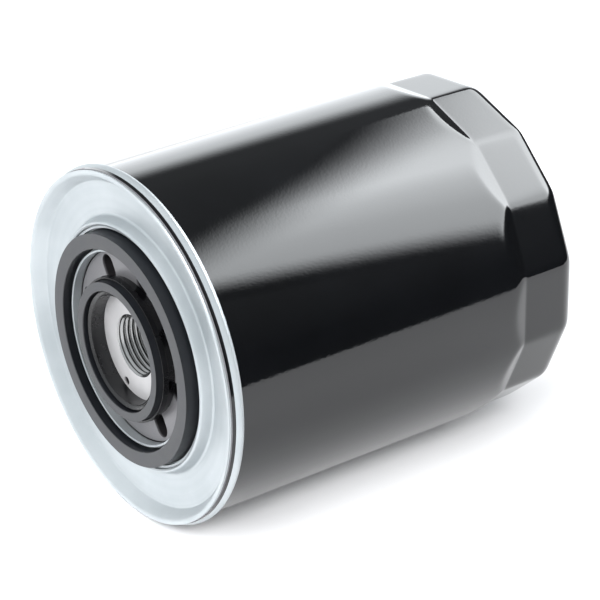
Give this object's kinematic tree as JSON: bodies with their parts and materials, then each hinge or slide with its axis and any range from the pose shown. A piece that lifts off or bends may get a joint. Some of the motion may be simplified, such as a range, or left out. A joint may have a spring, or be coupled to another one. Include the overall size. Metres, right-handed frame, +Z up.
{
  "type": "oil filter",
  "caption": "Spin-on oil filter can lying on its side: zinc cover with gasket, threaded base plate and inner seal, black can with wrench flats, full-flow and by-pass elements inside.",
  "frame": {"origin": "centre of the outer gasket's sealing face, on the filter's axis", "axes": "the filter lies on its side: +Y runs along its axis from the gasket toward the closed end, +Z is up, +X is to the right seen from the engine's side"},
  "size_m": [0.1104, 0.1322, 0.1104],
  "materials": {
    "can_paint": "gloss black paint",
    "zinc": "satin bright zinc plate with fine spun marks",
    "compound": "cured sealing compound",
    "gasket_rubber": "smooth moulded rubber, dull",
    "plate_steel": "satin phosphated steel, threads bright",
    "holder_black": "semi-matt black",
    "valve_rubber": "dull moulded rubber",
    "tinplate": "tinplate, satin",
    "filter_paper": "resin-treated pleated paper",
    "filter_felt": "bonded cellulose felt",
    "brass": "turned brass",
    "spring_steel": "oiled spring steel wire"
  },
  "bodies": {
    "filter": {"can": "can_paint", "cover_plate": "zinc", "seaming_compound": "compound", "outer_gasket": "gasket_rubber", "base_plate": "plate_steel", "seal_holder": "holder_black", "inner_seal": "gasket_rubber", "anti_drain_valve": "valve_rubber", "element_seal": "valve_rubber", "full_flow_front_cap": "tinplate", "full_flow_media": "filter_paper", "media_clip": "tinplate", "full_flow_centre_tube": "tinplate", "full_flow_rear_cap": "tinplate", "relief_valve_body": "tinplate", "relief_spring": "spring_steel", "relief_retainer": "tinplate", "element_spacer": "tinplate", "bypass_front_cap": "tinplate", "bypass_media": "filter_felt", "bypass_centre_tube": "tinplate", "bypass_rear_cap": "tinplate", "transfer_tube": "tinplate", "tube_grommets": "valve_rubber", "spring_seat": "tinplate", "support_spring": "spring_steel"},
    "relief_poppet": {"relief_poppet": "brass"}
  },
  "joints": [
    {"name": "relief_poppet_slide", "type": "slide", "parent": "filter", "child": "relief_poppet", "axis": [0, -1, 0], "range_m": [0, 0.0025], "stiffness_N_per_m": 2800, "springref_m": -0.006, "deforming": ["relief_spring"]}
  ]
}
